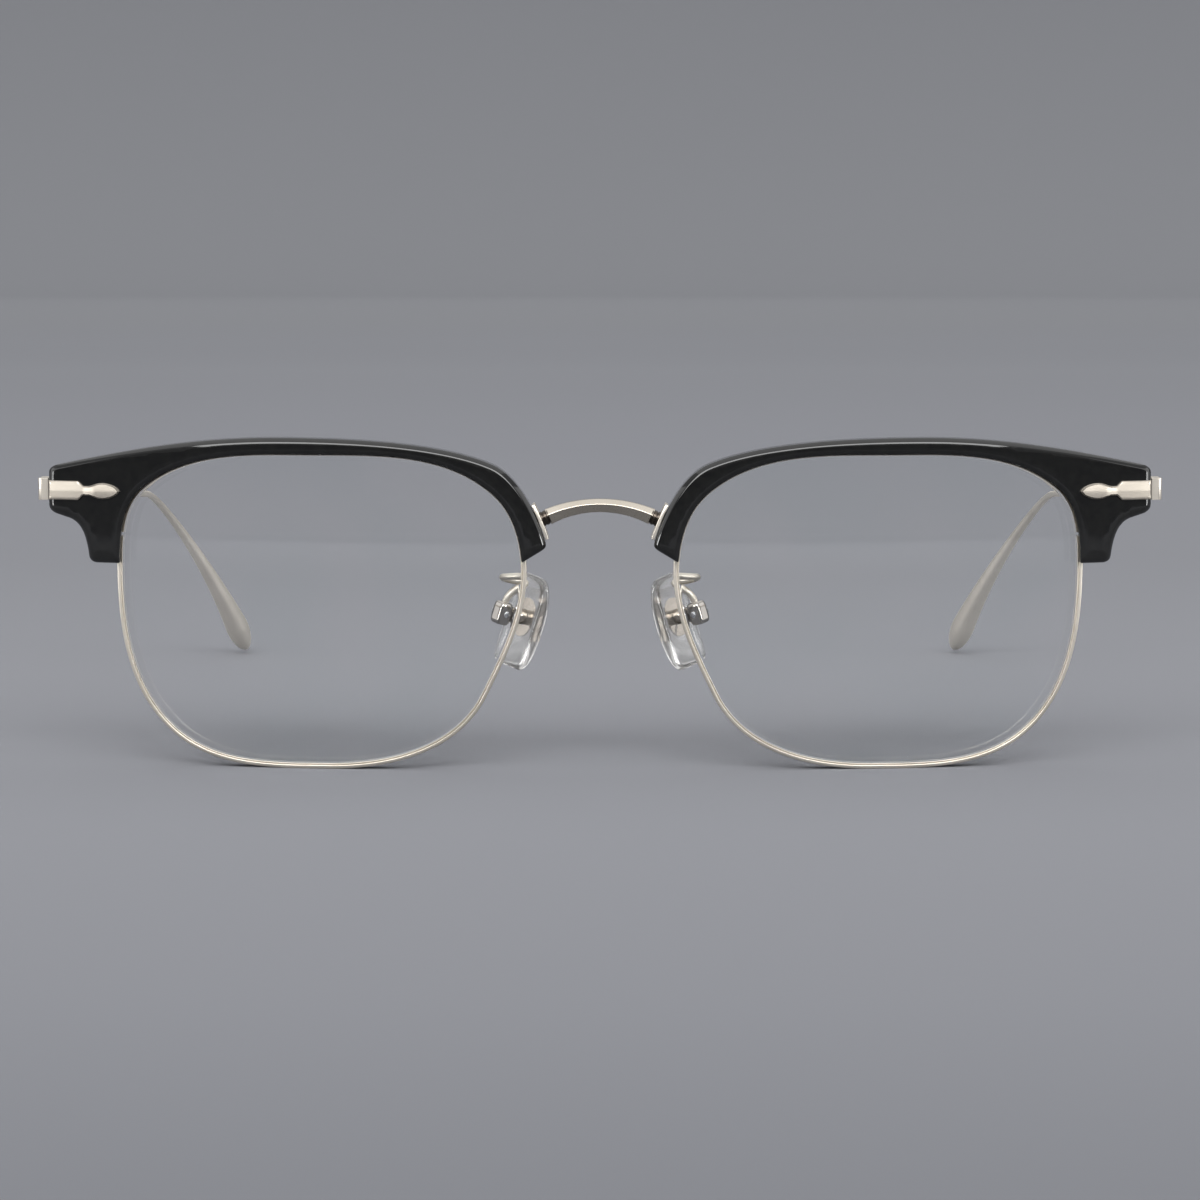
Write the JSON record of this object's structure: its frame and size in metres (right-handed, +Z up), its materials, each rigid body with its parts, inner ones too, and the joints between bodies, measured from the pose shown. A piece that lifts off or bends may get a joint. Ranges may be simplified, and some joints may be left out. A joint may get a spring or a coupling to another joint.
{
  "type": "browline glasses",
  "caption": "Open browline glasses with black brow bars over a thin metal chassis, clear lenses, arrow-shaped plates, silicone nose pads and slim metal temples that fold.",
  "frame": {"origin": "on the table, under the middle of the open glasses, on their plane of symmetry", "axes": "+X towards the wearer's left, -Y the way the front looks, +Y along the open temples, +Z up from the table"},
  "size_m": [0.146, 0.1423, 0.0428],
  "materials": {
    "black_acetate": "polished black cellulose acetate with bevelled edges",
    "champagne_titanium": "satin pale champagne titanium",
    "burnished_metal": "dark burnished metal",
    "polished_metal": "bright polished metal",
    "steel_screw": "bright steel with a driver slot",
    "clear_lens": "clear polished plastic lens",
    "clear_silicone": "soft translucent clear silicone"
  },
  "bodies": {
    "front": {"bridge": "champagne_titanium", "bridge_neck_left": "burnished_metal", "bridge_neck_right": "burnished_metal", "bridge_cheek_left": "champagne_titanium", "bridge_cheek_right": "champagne_titanium", "eyewire_left": "champagne_titanium", "eyewire_right": "champagne_titanium", "lens_left": "clear_lens", "lens_right": "clear_lens", "brow_left": "black_acetate", "brow_right": "black_acetate", "front_plate_left": "champagne_titanium", "front_plate_right": "champagne_titanium", "end_piece_left": "champagne_titanium", "end_piece_right": "champagne_titanium", "rim_lock_left": "champagne_titanium", "rim_lock_right": "champagne_titanium", "rim_lock_screw_left": "steel_screw", "rim_lock_screw_right": "steel_screw", "brow_screw_left": "steel_screw", "brow_screw_right": "steel_screw", "hinge_screw_left": "steel_screw", "hinge_screw_right": "steel_screw", "pad_arm_left": "champagne_titanium", "pad_arm_right": "champagne_titanium", "pad_box_left": "polished_metal", "pad_box_right": "polished_metal", "pad_screw_left": "steel_screw", "pad_screw_right": "steel_screw"},
    "temple_left": {"temple_hinge_left": "champagne_titanium", "temple_left": "champagne_titanium"},
    "temple_right": {"temple_hinge_right": "champagne_titanium", "temple_right": "champagne_titanium"},
    "pad_left": {"nose_pad_left": "clear_silicone", "pad_core_left": "burnished_metal"},
    "pad_right": {"nose_pad_right": "clear_silicone", "pad_core_right": "burnished_metal"}
  },
  "joints": [
    {"name": "temple_left_fold", "type": "hinge", "parent": "front", "child": "temple_left", "pos_m": [0.07035, -0.05475, 0.03575], "axis": [0, 0, 1], "range_deg": [0, 85]},
    {"name": "temple_right_fold", "type": "hinge", "parent": "front", "child": "temple_right", "pos_m": [-0.07035, -0.05475, 0.03575], "axis": [0, 0, -1], "range_deg": [0, 78]},
    {"name": "pad_left_rock", "type": "hinge", "parent": "front", "child": "pad_left", "pos_m": [0.01275, -0.06244, 0.01988], "axis": [0.6018, 0.7771, 0.184], "range_deg": [-10, 10]},
    {"name": "pad_right_rock", "type": "hinge", "parent": "front", "child": "pad_right", "pos_m": [-0.01275, -0.06244, 0.01988], "axis": [-0.6018, 0.7771, 0.184], "range_deg": [-10, 10]}
  ]
}
